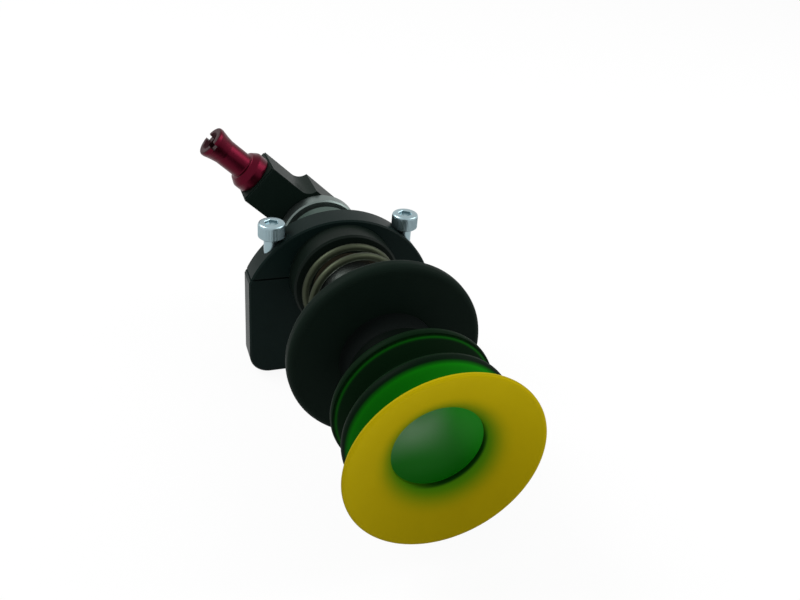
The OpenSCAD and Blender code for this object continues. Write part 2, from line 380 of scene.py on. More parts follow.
@dataclass(frozen=True)
class Finish:
    """A plain hard or soft surface with fine marks, tone changes and worn edges.

    Depths, widths and distances are in millimetres, and waves are counted a millimetre. A fade
    gives where a smooth rise begins and where it is done. The edge's fade is in cosines of the
    angle between the rounded and the flat normal.
    """

    name: str
    base: Colour
    roughness: float
    metallic: float = 0.0
    specular: float = 0.5
    coat: float = 0.0
    coat_roughness: float = 0.08
    coat_ior: float = 1.5
    grain: Grain = Grain.BLASTED
    grain_depth: float = 0.01
    grain_strength: float = 0.5
    patch_waves: float = 0.35
    rough_spread: float = 0.14
    mottle: float = 0.12
    mottle_waves: float = 0.16
    edge: Optional[Colour] = None
    edge_width: float = 0.35
    edge_spread: float = 0.55
    edge_fade: Fade = (0.99, 0.86)

    def colour(self, paint: Painter) -> Value:
        """The base colour with its slow tone changes."""
        slow = paint.noise(paint.stretched(), self.mottle_waves, detail=4)
        return paint.shade(self.base, 1 - self.mottle / 2 + slow * self.mottle)

    def metal(self, paint: Painter) -> Value:
        """How far the surface is bare metal."""
        return self.metallic

    def gloss(self, paint: Painter) -> Value:
        """How much clear gloss lies on the surface."""
        return self.coat

    def glow(self, paint: Painter) -> Value:
        """The painted light, a glow that stands for light coming through from behind; a solid
        finish has none.
        """
        return BLACK

    def worn(self, paint: Painter) -> Wire:
        """Finds the sharp edges, where the finish rubs thin.

        Args:
            paint: The material's graph.

        Returns:
            A mask that is 1 along sharp edges, where the rounded normal leaves the flat one.
        """
        round_normal = paint.node(
            "ShaderNodeBevel", {"samples": 4}, {"Radius": self.edge_width * MM}
        )
        flat_normal = paint.node("ShaderNodeNewGeometry", output="Normal")
        along = paint.node(
            "ShaderNodeVectorMath", {"operation": "DOT_PRODUCT"},
            {0: round_normal, 1: flat_normal}, output="Value",
        )
        return along.step(*self.edge_fade)

    def make(self) -> bpy.types.Material:
        """Builds the material.

        Returns:
            The finished material, ready for any piece.
        """
        material = bpy.data.materials.new(self.name)
        paint = Painter.on(material)
        stretch, waves = self.grain.value
        fine = paint.noise(paint.stretched(stretch), waves, detail=4)
        patches = paint.noise(paint.stretched(), self.patch_waves)
        base = self.colour(paint)
        rough = self.roughness * (1 - self.rough_spread + self.rough_spread * (fine + patches))
        normal = paint.bump(fine, self.grain_strength, self.grain_depth)
        if self.edge is not None:
            rubbed = 1 - self.edge_spread + self.edge_spread * patches
            base = paint.mix(self.worn(paint) * rubbed, base, self.edge)
        surface = paint.node("ShaderNodeBsdfPrincipled", sockets={
            "Base Color": base, "Roughness": rough, "Metallic": self.metal(paint),
            "Specular IOR Level": self.specular, "Coat Weight": self.gloss(paint),
            "Coat Roughness": self.coat_roughness, "Coat IOR": self.coat_ior,
            "Emission Color": self.glow(paint), "Emission Strength": 1.0, "Normal": normal,
        })
        paint.node("ShaderNodeOutputMaterial", sockets={"Surface": surface})
        return material


@dataclass(frozen=True)
class LipFinish(Finish):
    """Yellow polyurethane, through which the green bellows tints the mouth's edge.

    The fades of the outer edge, the mouth and the mouth's edge are radii. Painted light and shade:
    the yellow is lighter upwards and darker on its outer edge, the green near the mouth is shifted
    to the low right, where light comes through, and painted shade darkens the mouth's low right
    edge.
    """

    # Painted light: the yellow is made lighter upwards and darker downwards by this share, as if
    # lit from above.
    painted_top_light: float = 0.3
    # Painted shade: the outermost edge is darkened by this share, against the highlight it
    # catches.
    outer_shade: float = 0.3
    outer_fade: Fade = (LIP_R - 0.2, LIP_R - 0.04)
    mouth: Colour = tint(57, 105, 3)
    # The mouth's green is partly the bellows seen through the lip and partly painted light: its
    # centre is shifted to the low right, where light comes through.
    mouth_light_shift: Point = (0.9, -1.2)
    mouth_fade: Fade = (MOUTH_R + 7.0, MOUTH_R - 0.6)
    mouth_power: float = 1.5
    # Painted shade: the mouth's edge is darkened to this green on its low right side.
    rim_shade: Colour = tint(5, 44, 2)
    rim_shade_fade: Fade = (MOUTH_R + 0.85, MOUTH_R + 0.1)
    rim_shade_side: Fade = (0.0, 1.3 * MOUTH_R)

    def colour(self, paint: Painter) -> Value:
        """Yellow, with painted light upwards and painted shade on the outer and mouth's low right
        edges; green near the mouth.

        Args:
            paint: The material's graph.

        Returns:
            The base colour.
        """
        right, above = paint.across()
        # Painted light: lighter upwards and darker downwards.
        painted_top_light = 1 + self.painted_top_light * (above / LIP_R).most(-1.0).least(1.0)
        # Painted shade on the outermost edge.
        outer = paint.reach().step(*self.outer_fade)
        plain = paint.shade(super().colour(paint), painted_top_light * (1 - self.outer_shade * outer))
        # The mouth's green, partly painted light, centred to the low right.
        near = paint.reach(*self.mouth_light_shift).step(*self.mouth_fade)
        tinted = paint.mix(near ** self.mouth_power, plain, self.mouth)
        # Painted shade on the mouth's low right edge.
        rim_shade = paint.reach().step(*self.rim_shade_fade) * (right - above).step(*self.rim_shade_side)
        return paint.mix(rim_shade, tinted, self.rim_shade)


@dataclass(frozen=True)
class BellowsFinish(Finish):
    """Green polyurethane: thin walls pass the light, and thick beads and the neck stay dark.

    The mesh carries two masks: "film" for thin walls and "inside" for the front chamber. Both
    mark painted light: there the green is painted brighter and given a glow, stronger on the
    right, for the light that comes through from behind, and the chamber also gets a painted sheen
    in its coat. The neck's fade is in stations, and the others are places right of the axis or
    above it.
    """

    # Painted light: the brighter green of thin walls, for the light that comes through them.
    thin: Colour = tint(8, 96, 5)
    # Painted light: the front chamber's inside is painted this brighter green, as if lit through
    # its walls.
    chamber: Colour = tint(10, 134, 6)
    chamber_share: float = 0.68
    neck: Colour = tint(4, 9, 6)
    neck_fade: Fade = (26.0, 31.0)
    gloss_least: float = 0.06
    # Painted sheen: where the cup's inside keeps its coat, high up and on the left.
    sheen_above: Fade = (-14.5, -3.0)
    sheen_cut: float = 0.96
    sheen_cut_fade: Fade = (-2.0, 11.0)
    # The glow's colour and level: painted light through thin walls and the chamber, stronger on
    # the right.
    through: Colour = tint(7, 80, 5)
    through_level: float = 0.81
    wall_fade: Fade = (-18.0, 16.0)
    chamber_least: float = 0.4
    chamber_more: float = 0.8
    chamber_lean: float = 0.7
    chamber_fade: Fade = (0.0, 14.0)

    def mask(self, paint: Painter, name: str) -> Wire:
        """A mask that the mesh carries as an attribute."""
        return paint.node("ShaderNodeAttribute", {"attribute_name": name}, output="Fac")

    def colour(self, paint: Painter) -> Value:
        """Dark green, nearly black on the neck, and painted light: bright in thin walls and the
        front chamber.

        Args:
            paint: The material's graph.

        Returns:
            The base colour.
        """
        thick = paint.mix(paint.station().step(*self.neck_fade), super().colour(paint), self.neck)
        walls = paint.mix(self.mask(paint, "film"), thick, self.thin)
        return paint.mix(self.mask(paint, "inside") * self.chamber_share, walls, self.chamber)

    def gloss(self, paint: Painter) -> Value:
        """The clear gloss of the cup's inside, as a painted sheen: kept high up and on the left,
        and cut low down and on the right.

        Args:
            paint: The material's graph.

        Returns:
            The coat's weight.
        """
        right, above = paint.across()
        # Painted sheen, high up and on the left.
        bright = above.step(*self.sheen_above) * (1 - self.sheen_cut * right.step(*self.sheen_cut_fade))
        return self.mask(paint, "inside") * (self.gloss_least + (1 - self.gloss_least) * bright)

    def glow(self, paint: Painter) -> Value:
        """The painted light, a glow of the thin walls and the front chamber, with more of it on
        the right.

        Args:
            paint: The material's graph.

        Returns:
            The emission's colour.
        """
        right, above = paint.across()
        walls = self.mask(paint, "film") ** 2 * right.step(*self.wall_fade)
        more = self.chamber_more * (right + self.chamber_lean * above).step(*self.chamber_fade)
        chamber = self.mask(paint, "inside") * (self.chamber_least + more)
        return paint.mix((walls + chamber) * self.through_level, BLACK, self.through)


@dataclass(frozen=True)
class NippleFinish(Finish):
    """Red anodised aluminium, with painted shade, dark and not metal, in the bore, the notch and
    the mouth's face.

    The bore's fade is a radius, the mouth's and the notch floor's run out along the arm, and
    the notch wall's runs across it.
    """

    # Painted shade: the colour of the bore, the notch and the mouth's face, which are not metal
    # there either.
    painted_shade: Colour = tint(44, 17, 22)
    bore_fade: Fade = (3.6, 3.2)
    mouth_fade: Fade = (48.4, 48.7)
    notch_wall: Fade = (0.95, 0.92)
    notch_floor: Fade = (47.1, 47.2)

    def hidden(self, paint: Painter) -> Wire:
        """Finds the places where little light falls.

        Args:
            paint: The material's graph.

        Returns:
            A mask that is 1 in the bore, in the notch and on the mouth's face.
        """
        right, above = paint.across()
        turn = math.radians(ARM_ANGLE)
        outward = right * math.cos(turn) + above * math.sin(turn)
        beside = above * math.cos(turn) - right * math.sin(turn)
        behind = paint.station() - ARM_T
        bore = (beside * beside + behind * behind).root().step(*self.bore_fade)
        notch = beside.unsigned().step(*self.notch_wall) * outward.step(*self.notch_floor)
        return bore.most(outward.step(*self.mouth_fade)).most(notch)

    def colour(self, paint: Painter) -> Value:
        """Red, and dark where little light falls."""
        return paint.mix(self.hidden(paint), super().colour(paint), self.painted_shade)

    def metal(self, paint: Painter) -> Value:
        """Metal, apart from the places of painted shade."""
        return 1 - self.hidden(paint)


LIP = LipFinish("lip_yellow", tint(158, 140, 2), 0.6, specular=0.02, grain=Grain.MOULDED,
                grain_depth=0.004, mottle=0.08)
BELLOWS = BellowsFinish("bellows_green", tint(3, 17, 6), 0.5, specular=0.02,
                        coat_roughness=0.34, coat_ior=2.5, grain=Grain.MOULDED,
                        grain_depth=0.003, mottle=0.16)
CLAMP_BLACK = Finish("clamp_black", tint(12, 24, 22), 0.34, specular=0.035, mottle=0.3,
                     edge=tint(24, 33, 30))
ELBOW_BLACK = Finish("elbow_black", tint(15, 25, 21), 0.4, specular=0.03, mottle=0.3,
                     edge=tint(34, 42, 40))
TURNED_BLACK = Finish("turned_black", tint(12, 20, 16), 0.4, specular=0.05, grain=Grain.TURNED,
                      mottle=0.25, edge=tint(28, 36, 34))
HUB_BLACK = Finish("hub_black", tint(12, 16, 15), 0.5, specular=0.025, grain=Grain.TURNED,
                   mottle=0.25)
# Painted reflection: the barrel is glossy black, and its grey base colour stands for the white
# surroundings that it reflects.
BARREL_BLACK_SHEEN = Finish("barrel_black", tint(60, 73, 68), 0.34, specular=0.03, grain=Grain.TURNED,
                      mottle=0.2)
DISC = Finish("disc_black", tint(13, 23, 18), 0.5, specular=0.018, grain=Grain.MOULDED,
              grain_depth=0.012, mottle=0.3)
STEM = Finish("stem_ground", tint(150, 160, 154), 0.26, metallic=1.0, grain=Grain.TURNED,
              grain_depth=0.006)
ZINC = Finish("zinc_bright", tint(146, 167, 173), 0.3, metallic=1.0, grain=Grain.DRAWN,
              grain_depth=0.006, mottle=0.2)
WIRE = Finish("spring_wire", tint(56, 61, 48), 0.5, metallic=1.0, grain=Grain.DRAWN,
              grain_depth=0.008, mottle=0.3)
COLLAR = Finish("collar_turned", tint(104, 115, 112), 0.42, metallic=1.0, grain=Grain.TURNED,
                grain_depth=0.008)
OXIDE = Finish("black_oxide", tint(36, 38, 40), 0.4, specular=0.2)
LINER = Finish("liner_polymer", tint(58, 52, 40), 0.55, specular=0.08, grain=Grain.MOULDED)
SEAL = Finish("seal_rubber", tint(24, 32, 30), 0.6, specular=0.06, grain=Grain.MOULDED)
NIPPLE = NippleFinish("nipple_red", tint(78, 15, 31), 0.36, metallic=1.0, specular=0.06,
                      grain=Grain.DRAWN, grain_depth=0.004, mottle=0.25)


# ---- Mesh helpers ----


def smooth(part: float) -> float:
    """A smooth rise from 0 to 1, kept within them."""
    kept = max(0.0, min(1.0, part))
    return kept * kept * (3 - 2 * kept)


def bell(value: float, middle: float, width: float) -> float:
    """A bell curve that is 1 at the middle and fades over the width."""
    return math.exp(-(((value - middle) / width) ** 2))


def fillet(corners: Sequence[Corner], steps: int = 8) -> List[Point]:
    """Rounds the corners of a closed outline.

    Args:
        corners: Points with the radius of the arc that replaces each.
        steps: Segments in each arc.

    Returns:
        The outline's points.
    """
    outline: List[Point] = []
    count = len(corners)
    for index, (r, t, radius) in enumerate(corners):
        here = Vector((r, t))
        if radius == 0:
            outline.append((r, t))
            continue
        back = (Vector(corners[index - 1][:2]) - here).normalized()
        ahead = (Vector(corners[(index + 1) % count][:2]) - here).normalized()
        half = math.acos(max(-1.0, min(1.0, back.dot(ahead)))) / 2
        centre = here + (back + ahead).normalized() * (radius / math.sin(half))
        start = here + back * (radius / math.tan(half)) - centre
        stop = here + ahead * (radius / math.tan(half)) - centre
        first = math.atan2(start.y, start.x)
        sweep = math.remainder(math.atan2(stop.y, stop.x) - first, 2 * math.pi)
        for step in range(steps + 1):
            angle = first + sweep * step / steps
            outline.append(
                (centre.x + radius * math.cos(angle), centre.y + radius * math.sin(angle))
            )
    return outline


def split_long(outline: Sequence[Point], longest: float) -> List[Point]:
    """Adds points along an outline's long sides.

    Args:
        outline: The closed outline.
        longest: The length that no side may pass.

    Returns:
        The denser outline.
    """
    dense: List[Point] = []
    for index, (r, t) in enumerate(outline):
        r1, t1 = outline[(index + 1) % len(outline)]
        pieces = max(1, math.ceil(math.hypot(r1 - r, t1 - t) / longest))
        dense += [(r + (r1 - r) * i / pieces, t + (t1 - t) * i / pieces) for i in range(pieces)]
    return dense


def lathe(
    outline: Sequence[Point],
    place: Matrix,
    sides: int,
    ring_r: Optional[Callable[[int, float, float], float]] = None,
) -> bpy.types.Mesh:
    """Revolves a closed outline about the local Z axis.

    Args:
        outline: [radius, height] points in millimetres.
        place: Where the local frame lies in the row frame.
        sides: Steps round the axis.
        ring_r: Gives the radius of one point, from its index, its radius and the angle.

    Returns:
        The mesh, in metres.
    """
    points: List[Vector] = []
    for index, (r, height) in enumerate(outline):
        for side in range(sides):
            angle = 2 * math.pi * side / sides
            radius = ring_r(index, r, angle) if ring_r else r
            local = Vector((radius * math.cos(angle), radius * math.sin(angle), height)) * MM
            points.append(place @ local)
    faces: List[Tuple[int, int, int, int]] = []
    for row in range(len(outline)):
        after = (row + 1) % len(outline)
        for side in range(sides):
            beside = (side + 1) % sides
            faces.append((row * sides + side, row * sides + beside,
                          after * sides + beside, after * sides + side))
    mesh = bpy.data.meshes.new("turned")
    mesh.from_pydata([tuple(point) for point in points], [], faces)
    return mesh


def lengthwise() -> Matrix:
    """The frame whose Z runs rearwards along the gripper's axis from the sealing land."""
    return Matrix.Translation(on_axis(0.0)) @ Matrix.Rotation(math.radians(-90), 4, "X")


def shade(mesh: bpy.types.Mesh, sharp: float) -> None:
    """Shades a mesh smoothly where its faces meet at less than an angle, in degrees."""
    mesh.shade_smooth()
    mesh.set_sharp_from_angle(angle=math.radians(sharp))


def written(name: str, work: bmesh.types.BMesh) -> bpy.types.Mesh:
    """Writes a mesh that was edited in memory, and frees the memory.

    Args:
        name: The new mesh's name.
        work: The edited mesh.

    Returns:
        The new mesh.
    """
    mesh = bpy.data.meshes.new(name)
    work.to_mesh(mesh)
    work.free()
    return mesh


def added(name: str, data: bpy.types.ID) -> bpy.types.Object:
    """Makes an object and adds it to the scene.

    Args:
        name: The object's name.
        data: Its mesh, lamp or camera data.

    Returns:
        The object.
    """
    made = bpy.data.objects.new(name, data)
    bpy.context.scene.collection.objects.link(made)
    return made


def finish_mesh(
    name: str, mesh: bpy.types.Mesh, material: bpy.types.Material, sharp: float
) -> bpy.types.Object:
    """Makes an object of a closed mesh, with outward faces.

    Args:
        name: The object's name.
        mesh: The closed mesh.
        material: Its only material.
        sharp: The angle in degrees from which an edge stays sharp.

    Returns:
        The object.
    """
    work = bmesh.new()
    work.from_mesh(mesh)
    bmesh.ops.remove_doubles(work, verts=work.verts, dist=1e-7)
    bmesh.ops.recalc_face_normals(work, faces=work.faces)
    work.to_mesh(mesh)
    work.free()
    shade(mesh, sharp)
    mesh.materials.clear()
    mesh.materials.append(material)
    return added(name, mesh)


def frozen(piece: bpy.types.Object) -> bpy.types.Mesh:
    """Applies an object's modifiers to a copy of its mesh, and takes them off the object.

    Args:
        piece: The object.

    Returns:
        The plain mesh.
    """
    graph = bpy.context.evaluated_depsgraph_get()
    mesh = bpy.data.meshes.new_from_object(piece.evaluated_get(graph))
    piece.modifiers.clear()
    return mesh


@dataclass
class Grower(Graph):
    """A geometry tree with named inputs."""

    sizes: Dict[str, Size]
    given: bpy.types.Node

    @classmethod
    def start(cls, name: str, sizes: Dict[str, Size]) -> "Grower":
        """Makes a tree with one input for each size.

        Args:
            name: The tree's name.
            sizes: Values by input name; whole numbers, numbers or places.

        Returns:
            The new graph.
        """
        kinds = {float: "NodeSocketFloat", int: "NodeSocketInt", tuple: "NodeSocketVector"}
        tree = bpy.data.node_groups.new(name, "GeometryNodeTree")
        tree.interface.new_socket("Geometry", in_out="OUTPUT", socket_type="NodeSocketGeometry")
        for label, size in sizes.items():
            tree.interface.new_socket(label, in_out="INPUT", socket_type=kinds[type(size)])
        return cls(tree, sizes, tree.nodes.new("NodeGroupInput"))

    def input(self, label: str) -> Wire:
        """The wire of a named input."""
        return Wire(self, self.given.outputs[label])

    def grow(self, geometry: Wire, material: bpy.types.Material) -> bpy.types.Mesh:
        """Closes the tree, runs it on an empty mesh and keeps the result as a plain mesh.

        Args:
            geometry: The finished geometry; its instances are realized.
            material: The material of all its faces.

        Returns:
            The plain mesh.
        """
        real = self.node("GeometryNodeRealizeInstances", sockets={"Geometry": geometry})
        dressed = self.node(
            "GeometryNodeSetMaterial", sockets={"Geometry": real, "Material": material}
        )
        self.node("NodeGroupOutput", sockets={0: dressed})
        holder = added(self.tree.name + "_holder", bpy.data.meshes.new(self.tree.name + "_seed"))
        modifier = holder.modifiers.new("grow", "NODES")
        modifier.node_group = self.tree
        for item in self.tree.interface.items_tree:
            if item.in_out == "INPUT":
                modifier[item.identifier] = self.sizes[item.name]
        mesh = frozen(holder)
        mesh.name = self.tree.name
        bpy.data.objects.remove(holder)
        return mesh


# ---- Sub-assemblies ----


@dataclass
class SuctionCup:
    """The yellow lip and the green bellows behind it.

    Radii end in r and stations in t. A film says how much light a wall passes, from 0 to 1.
    """

    edge_r: float = LIP_R - 0.01
    land_t: float = 0.02
    mouth_r: float = MOUTH_R
    mouth_t: float = 6.1
    bond_r: float = 24.8
    bond_front_t: float = 1.6
    bond_slope: float = 5.5 / 12.6
    bond_gap: float = 0.06
    valley_front_t: float = 8.0
    fold_r: float = 23.78
    fold_t: float = 13.0
    waist_r: float = 16.6
    waist_t: float = 19.0
    rear_fold_r: float = 23.88
    rear_fold_t: float = 24.5
    neck_r: float = 14.5
    neck_bore_r: float = 9.0
    neck_t: float = 30.0
    end_t: float = 37.98
    port_r: float = 2.0
    dish_r: float = 19.3
    dish_t: float = 21.5
    dish_depth: float = 7.9
    dish_step: float = 0.7196
    dish_points: int = 25
    chamber_t: float = 7.0
    chamber_front: Point = (16.3, 9.64)
    chamber_fold: Point = (20.1, 13.0)
    front_film: float = 0.86
    skirt_film: float = 0.3
    skirt_r: float = 24.0
    thin_r: float = 22.3
    thin_width: float = 0.8
    ridge_r: float = 21.3
    ridge_width: float = 0.4
    bead_film: float = 0.02
    line_film: float = 0.42
    line_r: float = 21.35
    line_width: float = 0.27
    sides: int = 192
    moving_t: float = 0.3

    def bond(self, r: float) -> float:
        """Station of the cone on which the lip meets the bellows."""
        return self.bond_front_t + (self.bond_r - r) * self.bond_slope

    def dish(self, r: float) -> float:
        """Station of the cup's dished floor at a radius."""
        along = (r - self.port_r) / (self.dish_r - self.port_r)
        return self.dish_t - self.dish_depth * along ** 2

    def lip(self) -> bpy.types.Object:
        """Builds the lip, a shallow dished ring with a thin sealing edge.

        Returns:
            The lip.
        """
        outline = fillet([
            (self.mouth_r, self.mouth_t, 0.5), (LIP_R - 0.9, self.land_t, 0.8),
            (LIP_R - 0.35, self.land_t, 0.3), (self.edge_r, 0.25, 0.3), (self.edge_r, 0.95, 0.35),
            (LIP_R - 0.7, 1.45, 0.3), (self.bond_r, self.bond(self.bond_r), 0.0),
            (self.mouth_r, self.bond(self.mouth_r), 0.0),
        ])
        mesh = lathe(split_long(outline, 0.8), lengthwise(), self.sides)
        return finish_mesh("cup_lip", mesh, LIP.make(), sharp=34)

    def film(self, r: float, t: float) -> float:
        """How much light the wall passes at a point of the outline.

        Args:
            r: The point's radius.
            t: Its station.

        Returns:
            0 on the neck, nearly 0 in a bead and up to 1 in the thinnest flank.
        """
        # A high film is painted light in the finish: a brighter green and a glow.
        if t < self.valley_front_t:
            return self.front_film if r < self.skirt_r else self.skirt_film
        if t < self.fold_t:
            # Painted light: the ridge brightens the front flank towards its bead.
            ridge = bell(r, self.ridge_r, self.ridge_width)
            level = self.front_film + (1 - self.front_film) * ridge
            return smooth((self.thin_r - r) / self.thin_width) * level
        if t < self.neck_t - 3.0:
            # Painted light: the line is a thin bright stripe on the rear fold's front flank.
            on_flank = self.waist_t < t < self.rear_fold_t
            line = bell(r, self.line_r, self.line_width) if on_flank else 0.0
            return self.bead_film + self.line_film * line
        return 0.0

    def inside(self, r: float, t: float) -> float:
        """Finds the walls of the front chamber, which the mouth shows.

        Args:
            r: The radius of a point of the outline.
            t: Its station.

        Returns:
            1 on those walls and 0 elsewhere.
        """
        (front_r, front_t), (fold_r, fold_t) = self.chamber_front, self.chamber_fold
        wall_r = fold_r + 0.4
        if t < fold_t + 0.2:
            wall_r = front_r + (t - front_t) * (fold_r - front_r) / (fold_t - front_t) + 0.4
        return 1.0 if self.chamber_t < t < self.dish(r) + 0.3 and r < wall_r else 0.0

    def paint_rings(self, mesh: bpy.types.Mesh, name: str, rings: Sequence[float]) -> None:
        """Writes an attribute on a turned mesh.

        Args:
            mesh: The mesh, one ring of points for each point of its outline.
            name: The attribute's name.
            rings: One value for each ring.
        """
        layer = mesh.attributes.new(name, "FLOAT", "POINT")
        layer.data.foreach_set("value", [ring for ring in rings for _ in range(self.sides)])

    def bellows(self) -> bpy.types.Object:
        """Builds the bellows with its two folds, its dished floor and its hollow neck.

        Returns:
            The bellows, with the masks that its finish reads.
        """
        rise = (self.rear_fold_t - self.waist_t) / (self.rear_fold_r - self.waist_r)
        near_line = [self.line_r + 0.2 * step for step in range(-4, 5)]
        outside = [
            (self.bond_r - 0.02, self.bond(self.bond_r - 0.02) + self.bond_gap, 0.0),
            (24.3, 2.7, 0.5), (17.8, self.valley_front_t, 1.2), (self.fold_r, self.fold_t, 2.0),
            (self.waist_r, self.waist_t, 1.3),
            *((r, self.waist_t + (r - self.waist_r) * rise, 0.0) for r in near_line),
            (self.rear_fold_r, self.rear_fold_t, 2.0), (self.neck_r, self.neck_t + 0.5, 1.2),
            (self.neck_r, self.end_t, 0.5),
        ]
        rear = [
            (self.neck_bore_r, self.end_t, 0.3), (self.neck_bore_r, 29.2, 0.0),
            (12.5, 29.2, 0.0), (19.9, 24.4, 0.8), (15.2, 20.9, 1.0), (self.port_r, 23.3, 0.3),
        ]
        radii = [self.port_r + 0.05 + step * self.dish_step for step in range(self.dish_points)]
        dish = [(r, self.dish(r), 0.0) for r in radii]
        front = [
            (*self.chamber_fold, 0.6), (*self.chamber_front, 0.6),
            (self.mouth_r + 0.5, self.mouth_t + 1.7, 0.2),
            (self.mouth_r + 0.1, self.bond(self.mouth_r + 0.1) + self.bond_gap, 0.0),
        ]
        outline = split_long(fillet(outside + rear + dish + front), 0.9)
        mesh = lathe(outline, lengthwise(), self.sides)
        inner = [self.inside(r, t) for r, t in outline]
        films = [0.0 if within else self.film(r, t) for (r, t), within in zip(outline, inner)]
        self.paint_rings(mesh, "film", films)
        self.paint_rings(mesh, "inside", inner)
        return finish_mesh("cup_bellows", mesh, BELLOWS.make(), sharp=50)

    def build(self) -> Pieces:
        """Builds the cup's pieces and attaches the lip.

        Returns:
            The pieces by name.
        """
        lip = self.lip()
        bellows = self.bellows()
        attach(lip, "cup_lip")
        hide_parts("lip")
        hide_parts("bellows")
        on_axis(self.neck_t)
        on_axis(self.bond(self.mouth_r) + self.moving_t)
        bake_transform(bellows)
        return {"lip": lip, "bellows": bellows}


@dataclass
class Suspension:
    """The coil spring between the front washer and the guide sleeve.

    It bears on the sleeve's flange at seat_t.
    """

    coil_r: float = 14.6
    wire_r: float = 1.2
    pitch: float = 11.0
    end_pitch: float = 2.5
    front_t: float = 54.15
    rear_t: float = 85.95
    rear_angle: float = -72.0
    points_a_turn: int = 56
    section_points: int = 18
    seat_t: float = 87.2
    rest_length: float = 34.3
    travel: float = 18.0

    def sizes(self) -> Dict[str, Size]:
        """Works out the spring's sizes, with a closed turn at each end of the open ones.

        Returns:
            The inputs of the spring's tree.
        """
        open_turns = (self.rear_t - self.front_t - 2 * self.end_pitch) / self.pitch
        return {
            "Coil radius": self.coil_r * MM, "Wire radius": self.wire_r * MM,
            "Pitch": self.pitch * MM, "End pitch": self.end_pitch * MM,
            "Open turns": open_turns, "Rear station": on_axis(self.rear_t)[1],
            "Rear angle": math.radians(self.rear_angle), "Axis height": AXIS_H * MM,
            "Points": round((open_turns + 2) * self.points_a_turn),
        }

    def wind(self, material: bpy.types.Material) -> bpy.types.Mesh:
        """Winds the wire along its path, from its rear end forwards.

        Args:
            material: The wire's material.

        Returns:
            The spring's mesh.
        """
        tree = Grower.start("coil_spring", self.sizes())
        open_turns, end_pitch = tree.input("Open turns"), tree.input("End pitch")
        line = tree.node("GeometryNodeCurvePrimitiveLine", sockets={"End": (1, 0, 0)})
        path = tree.node("GeometryNodeResampleCurve", {"mode": "COUNT"},
                         {"Curve": line, "Count": tree.input("Points")})
        index = tree.node("GeometryNodeInputIndex")
        turn = (open_turns + 2) * index / (tree.input("Points") - 1)
        rear_end = turn.least(1.0)
        opened = (turn - 1).most(0.0).least(open_turns)
        front_end = (turn - 1 - open_turns).most(0.0)
        station = (tree.input("Rear station") - end_pitch * (rear_end + front_end)
                   - tree.input("Pitch") * opened)
        angle = tree.input("Rear angle") + turn * (2 * math.pi)
        place = tree.node("ShaderNodeCombineXYZ", sockets={
            0: tree.input("Coil radius") * angle.cosine(), 1: station,
            2: tree.input("Coil radius") * angle.sine() + tree.input("Axis height"),
        })
        wound = tree.node("GeometryNodeSetPosition", sockets={"Geometry": path, "Position": place})
        section = tree.node(
            "GeometryNodeCurvePrimitiveCircle", {"mode": "RADIUS"},
            {"Resolution": self.section_points, "Radius": tree.input("Wire radius")},
        )
        wire = tree.node("GeometryNodeCurveToMesh", sockets={
            "Curve": wound, "Profile Curve": section, "Fill Caps": True,
        })
        return tree.grow(wire, material)

    def build(self) -> Pieces:
        """Builds the spring and attaches it to the mount.

        Returns:
            The spring by name.
        """
        material = WIRE.make()
        spring = finish_mesh("coil_spring", self.wind(material), material, sharp=50)
        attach(spring, "mount")
        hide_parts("spring")
        on_axis(self.seat_t)
        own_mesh(spring)
        return {"spring": spring}


